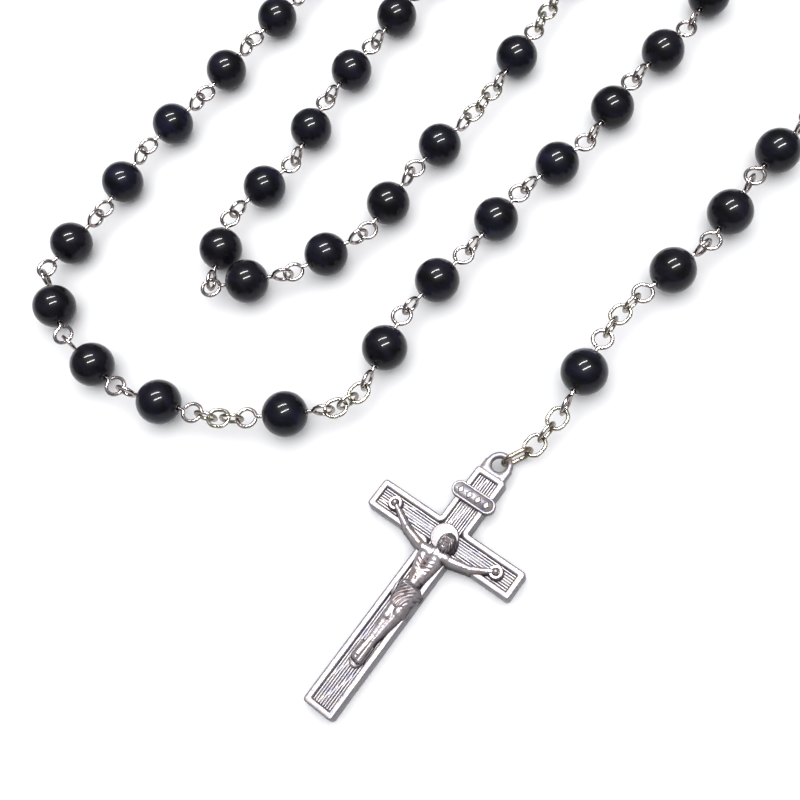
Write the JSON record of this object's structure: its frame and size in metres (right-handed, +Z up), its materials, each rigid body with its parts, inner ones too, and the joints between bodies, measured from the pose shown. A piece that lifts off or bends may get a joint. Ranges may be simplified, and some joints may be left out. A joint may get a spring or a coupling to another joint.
{
  "type": "rosary",
  "caption": "Rosary laid out on a flat surface: round dark stone beads on wire eye pins, joined by short link chains, with an oval centrepiece medal and a crucifix.",
  "frame": {"origin": "centre of the laid-out rosary on the surface it lies on, at the underside of the beads", "axes": "+Z up from that surface, +X from the crucifix towards the closing end of the loop, +Y across the strands"},
  "size_m": [0.226, 0.1162, 0.006],
  "materials": {
    "bead_stone": "dark navy polished stone",
    "pin_wire": "bright silver-tone plated wire",
    "link_wire": "nickel plated wire",
    "ring_wire": "darkened nickel wire",
    "cast_metal": "oxidised silver-tone casting",
    "figure_metal": "oxidised silver-tone casting, warmer on the high spots"
  },
  "bodies": {
    "centrepiece": {"centrepiece": "cast_metal"},
    "centre_chain": {"centre_chain_links": "link_wire"},
    "upper_chain": {"upper_chain_links": "link_wire"},
    "our_father_1_pin": {"our_father_1_eye_pin": "pin_wire"},
    "our_father_1_bead": {"our_father_1_bead": "bead_stone"},
    "our_father_2_pin": {"our_father_2_eye_pin": "pin_wire"},
    "our_father_2_bead": {"our_father_2_bead": "bead_stone"},
    "our_father_3_pin": {"our_father_3_eye_pin": "pin_wire", "our_father_3_chain_links": "link_wire"},
    "our_father_3_bead": {"our_father_3_bead": "bead_stone"},
    "our_father_4_pin": {"our_father_4_eye_pin": "pin_wire", "our_father_4_chain_links": "link_wire"},
    "our_father_4_bead": {"our_father_4_bead": "bead_stone"},
    "our_father_5_pin": {"our_father_5_eye_pin": "pin_wire", "our_father_5_chain_links": "link_wire"},
    "our_father_5_bead": {"our_father_5_bead": "bead_stone"},
    "our_father_6_pin": {"our_father_6_eye_pin": "pin_wire", "our_father_6_chain_links": "link_wire"},
    "our_father_6_bead": {"our_father_6_bead": "bead_stone"},
    "hail_mary_1_pin": {"hail_mary_1_eye_pin": "pin_wire"},
    "hail_mary_1_bead": {"hail_mary_1_bead": "bead_stone"},
    "hail_mary_2_pin": {"hail_mary_2_eye_pin": "pin_wire"},
    "hail_mary_2_bead": {"hail_mary_2_bead": "bead_stone"},
    "hail_mary_3_pin": {"hail_mary_3_eye_pin": "pin_wire"},
    "hail_mary_3_bead": {"hail_mary_3_bead": "bead_stone"},
    "middle_chain_link_1": {"middle_chain_link_1": "link_wire"},
    "lower_chain_link_1": {"lower_chain_link_1": "link_wire"},
    "middle_chain_link_2": {"middle_chain_link_2": "link_wire"},
    "lower_chain_link_2": {"lower_chain_link_2": "link_wire"},
    "middle_chain_link_3": {"middle_chain_link_3": "link_wire"},
    "lower_chain_link_3": {"lower_chain_link_3": "link_wire"},
    "crucifix_ring": {"crucifix_ring": "ring_wire"},
    "crucifix": {"crucifix_cross": "cast_metal", "crucifix_figure": "figure_metal", "crucifix_title_plate": "cast_metal", "crucifix_nails": "cast_metal"},
    "loop_start_chain": {"loop_start_chain_links": "link_wire"},
    "loop_end_chain": {"loop_end_chain_links": "link_wire"},
    "decade_1_first_half": {"decade_1_first_half_beads": "bead_stone", "decade_1_first_half_eye_pins": "pin_wire"},
    "decade_1_second_half": {"decade_1_second_half_beads": "bead_stone", "decade_1_second_half_eye_pins": "pin_wire"},
    "decade_2_first_half": {"decade_2_first_half_beads": "bead_stone", "decade_2_first_half_eye_pins": "pin_wire"},
    "decade_2_second_half": {"decade_2_second_half_beads": "bead_stone", "decade_2_second_half_eye_pins": "pin_wire"},
    "decade_3_first_half": {"decade_3_first_half_beads": "bead_stone", "decade_3_first_half_eye_pins": "pin_wire"},
    "decade_3_second_half": {"decade_3_second_half_beads": "bead_stone", "decade_3_second_half_eye_pins": "pin_wire"},
    "decade_4_first_half": {"decade_4_first_half_beads": "bead_stone", "decade_4_first_half_eye_pins": "pin_wire"},
    "decade_4_second_half": {"decade_4_second_half_beads": "bead_stone", "decade_4_second_half_eye_pins": "pin_wire"},
    "decade_5_first_half": {"decade_5_first_half_beads": "bead_stone", "decade_5_first_half_eye_pins": "pin_wire"},
    "decade_5_second_half": {"decade_5_second_half_beads": "bead_stone", "decade_5_second_half_eye_pins": "pin_wire"}
  },
  "joints": [
    {"name": "centre_chain_tip", "type": "hinge", "parent": "centrepiece", "child": "centre_chain", "pos_m": [0.00943, -0.03096, 0.0015], "axis": [-0.3907, 0.9205, 0], "range_deg": [-60, 60]},
    {"name": "our_father_2_pin_tip", "type": "hinge", "parent": "centre_chain", "child": "our_father_2_pin", "pos_m": [0.0039, -0.03089, 0.003], "axis": [-0.3907, -0.9205, 0], "range_deg": [-60, 60]},
    {"name": "upper_chain_tip", "type": "hinge", "parent": "our_father_2_pin", "child": "upper_chain", "pos_m": [-0.00714, -0.02616, 0.003], "axis": [0.3214, 0.9469, 0], "range_deg": [-60, 60]},
    {"name": "hail_mary_3_pin_tip", "type": "hinge", "parent": "upper_chain", "child": "hail_mary_3_pin", "pos_m": [-0.01406, -0.02437, 0.003], "axis": [-0.1779, -0.984, 0], "range_deg": [-60, 60]},
    {"name": "hail_mary_2_pin_tip", "type": "hinge", "parent": "hail_mary_3_pin", "child": "hail_mary_2_pin", "pos_m": [-0.02601, -0.02316, 0.003], "axis": [0.1045, 0.9945, 0], "range_deg": [-60, 60]},
    {"name": "hail_mary_1_pin_tip", "type": "hinge", "parent": "hail_mary_2_pin", "child": "hail_mary_1_pin", "pos_m": [-0.03761, -0.02371, 0.003], "axis": [0.0349, -0.9994, 0], "range_deg": [-60, 60]},
    {"name": "middle_chain_link_3_tip", "type": "hinge", "parent": "hail_mary_1_pin", "child": "middle_chain_link_3", "pos_m": [-0.04872, -0.02019, 0.003], "axis": [0.2756, 0.9613, 0], "range_deg": [-60, 60]},
    {"name": "middle_chain_link_2_swing", "type": "hinge", "parent": "middle_chain_link_3", "child": "middle_chain_link_2", "pos_m": [-0.05087, -0.01986, 0.003], "axis": [0, 0, 1], "range_deg": [-5, 60]},
    {"name": "middle_chain_link_1_tip", "type": "hinge", "parent": "middle_chain_link_2", "child": "middle_chain_link_1", "pos_m": [-0.05305, -0.01969, 0.003], "axis": [-0.0785, -0.9969, 0], "range_deg": [-60, 60]},
    {"name": "our_father_1_pin_tip", "type": "hinge", "parent": "middle_chain_link_1", "child": "our_father_1_pin", "pos_m": [-0.0546, -0.01973, 0.003], "axis": [-0.1219, 0.9925, 0], "range_deg": [-60, 60]},
    {"name": "lower_chain_link_3_tip", "type": "hinge", "parent": "our_father_1_pin", "child": "lower_chain_link_3", "pos_m": [-0.06652, -0.0213, 0.003], "axis": [-0.0523, -0.9986, 0], "range_deg": [-60, 60]},
    {"name": "lower_chain_link_2_swing", "type": "hinge", "parent": "lower_chain_link_3", "child": "lower_chain_link_2", "pos_m": [-0.06867, -0.02119, 0.00266], "axis": [0, 0, 1], "range_deg": [-20, 60]},
    {"name": "lower_chain_link_1_tip", "type": "hinge", "parent": "lower_chain_link_2", "child": "lower_chain_link_1", "pos_m": [-0.07082, -0.02099, 0.00232], "axis": [0.1564, 0.9877, 0], "range_deg": [-60, 60]},
    {"name": "crucifix_ring_swing", "type": "hinge", "parent": "lower_chain_link_1", "child": "crucifix_ring", "pos_m": [-0.07289, -0.02066, 0.00199], "axis": [0, 0, 1], "range_deg": [-20, 60]},
    {"name": "crucifix_tip", "type": "hinge", "parent": "crucifix_ring", "child": "crucifix", "pos_m": [-0.07546, -0.01918, 0.00153], "axis": [-0.5, -0.866, 0], "range_deg": [-60, 60]},
    {"name": "loop_start_chain_tip", "type": "hinge", "parent": "centrepiece", "child": "loop_start_chain", "pos_m": [0.02206, -0.01862, 0.0015], "axis": [0.9806, -0.1959, 0], "range_deg": [-60, 60]},
    {"name": "decade_1_first_half_tip", "type": "hinge", "parent": "loop_start_chain", "child": "decade_1_first_half", "pos_m": [0.02375, -0.01335, 0.003], "axis": [-0.9816, 0.1908, 0], "range_deg": [-60, 60]},
    {"name": "decade_1_second_half_tip", "type": "hinge", "parent": "decade_1_first_half", "child": "decade_1_second_half", "pos_m": [-0.01841, -0.00104, 0.003], "axis": [-0.0349, 0.9994, 0], "range_deg": [-60, 60]},
    {"name": "our_father_3_pin_tip", "type": "hinge", "parent": "decade_1_second_half", "child": "our_father_3_pin", "pos_m": [-0.07765, 0.00159, 0.003], "axis": [-0.0741, -0.9973, 0], "range_deg": [-60, 60]},
    {"name": "decade_2_first_half_tip", "type": "hinge", "parent": "our_father_3_pin", "child": "decade_2_first_half", "pos_m": [-0.0932, 0.01726, 0.003], "axis": [0.9613, 0.2756, 0], "range_deg": [-60, 60]},
    {"name": "decade_2_second_half_tip", "type": "hinge", "parent": "decade_2_first_half", "child": "decade_2_second_half", "pos_m": [-0.06626, 0.05347, 0.003], "axis": [0.1045, 0.9945, 0], "range_deg": [-60, 60]},
    {"name": "our_father_4_pin_tip", "type": "hinge", "parent": "decade_2_second_half", "child": "our_father_4_pin", "pos_m": [-0.00684, 0.0555, 0.003], "axis": [-0.3987, -0.9171, 0], "range_deg": [-60, 60]},
    {"name": "decade_3_first_half_tip", "type": "hinge", "parent": "our_father_4_pin", "child": "decade_3_first_half", "pos_m": [-0.00859, 0.03484, 0.003], "axis": [-0.0872, -0.9962, 0], "range_deg": [-60, 60]},
    {"name": "decade_3_second_half_tip", "type": "hinge", "parent": "decade_3_first_half", "child": "decade_3_second_half", "pos_m": [-0.06686, 0.03461, 0.003], "axis": [-0.4384, 0.8988, 0], "range_deg": [-60, 60]},
    {"name": "loop_end_chain_tip", "type": "hinge", "parent": "centrepiece", "child": "loop_end_chain", "pos_m": [0.02631, -0.03119, 0.00129], "axis": [-0.9573, -0.289, 0], "range_deg": [-25, 60]},
    {"name": "decade_5_second_half_tip", "type": "hinge", "parent": "loop_end_chain", "child": "decade_5_second_half", "pos_m": [0.02857, -0.03619, 0.003], "axis": [0.7488, 0.6628, 0], "range_deg": [-60, 60]},
    {"name": "decade_5_first_half_tip", "type": "hinge", "parent": "decade_5_second_half", "child": "decade_5_first_half", "pos_m": [0.0816, -0.0518, 0.003], "axis": [0.5576, -0.8301, 0], "range_deg": [-60, 60]},
    {"name": "our_father_6_pin_tip", "type": "hinge", "parent": "decade_5_first_half", "child": "our_father_6_pin", "pos_m": [0.11043, -0.0027, 0.003], "axis": [-0.9985, -0.0544, 0], "range_deg": [-60, 60]},
    {"name": "decade_4_second_half_tip", "type": "hinge", "parent": "our_father_6_pin", "child": "decade_4_second_half", "pos_m": [0.10061, 0.02059, 0.003], "axis": [0.736, 0.677, 0], "range_deg": [-60, 60]},
    {"name": "decade_4_first_half_tip", "type": "hinge", "parent": "decade_4_second_half", "child": "decade_4_first_half", "pos_m": [0.04534, 0.03422, 0.003], "axis": [0.2052, -0.9787, 0], "range_deg": [-60, 60]},
    {"name": "our_father_5_pin_tip", "type": "hinge", "parent": "decade_4_first_half", "child": "our_father_5_pin", "pos_m": [-0.01177, 0.0168, 0.003], "axis": [-0.1564, 0.9877, 0], "range_deg": [-60, 60]},
    {"name": "hail_mary_1_bead_spin", "type": "hinge", "parent": "hail_mary_1_pin", "child": "hail_mary_1_bead", "pos_m": [-0.04265, -0.02193, 0.003], "axis": [0.9615, -0.2748, 0], "continuous": true},
    {"name": "hail_mary_2_bead_spin", "type": "hinge", "parent": "hail_mary_2_pin", "child": "hail_mary_2_bead", "pos_m": [-0.0313, -0.02349, 0.003], "axis": [0.9994, 0.0357, 0], "continuous": true},
    {"name": "hail_mary_3_bead_spin", "type": "hinge", "parent": "hail_mary_3_pin", "child": "hail_mary_3_bead", "pos_m": [-0.01973, -0.02382, 0.003], "axis": [0.9946, -0.1037, 0], "continuous": true},
    {"name": "our_father_1_bead_spin", "type": "hinge", "parent": "our_father_1_pin", "child": "our_father_1_bead", "pos_m": [-0.06087, -0.0205, 0.003], "axis": [0.9926, 0.121, 0], "continuous": true},
    {"name": "our_father_2_bead_spin", "type": "hinge", "parent": "our_father_2_pin", "child": "our_father_2_bead", "pos_m": [-0.00192, -0.02842, 0.003], "axis": [0.9202, -0.3915, 0], "continuous": true},
    {"name": "our_father_3_bead_spin", "type": "hinge", "parent": "our_father_3_pin", "child": "our_father_3_bead", "pos_m": [-0.08674, 0.00792, 0.003], "axis": [-0.6434, 0.7655, 0], "continuous": true},
    {"name": "our_father_4_bead_spin", "type": "hinge", "parent": "our_father_4_pin", "child": "our_father_4_bead", "pos_m": [-0.00327, 0.04479, 0.003], "axis": [-0.121, -0.9926, 0], "continuous": true},
    {"name": "our_father_5_bead_spin", "type": "hinge", "parent": "our_father_5_pin", "child": "our_father_5_bead", "pos_m": [-0.02392, 0.01553, 0.003], "axis": [0.9961, 0.088, 0], "continuous": true},
    {"name": "our_father_6_bead_spin", "type": "hinge", "parent": "our_father_6_pin", "child": "our_father_6_bead", "pos_m": [0.10695, 0.00955, 0.003], "axis": [-0.3885, 0.9214, 0.0017], "continuous": true}
  ]
}
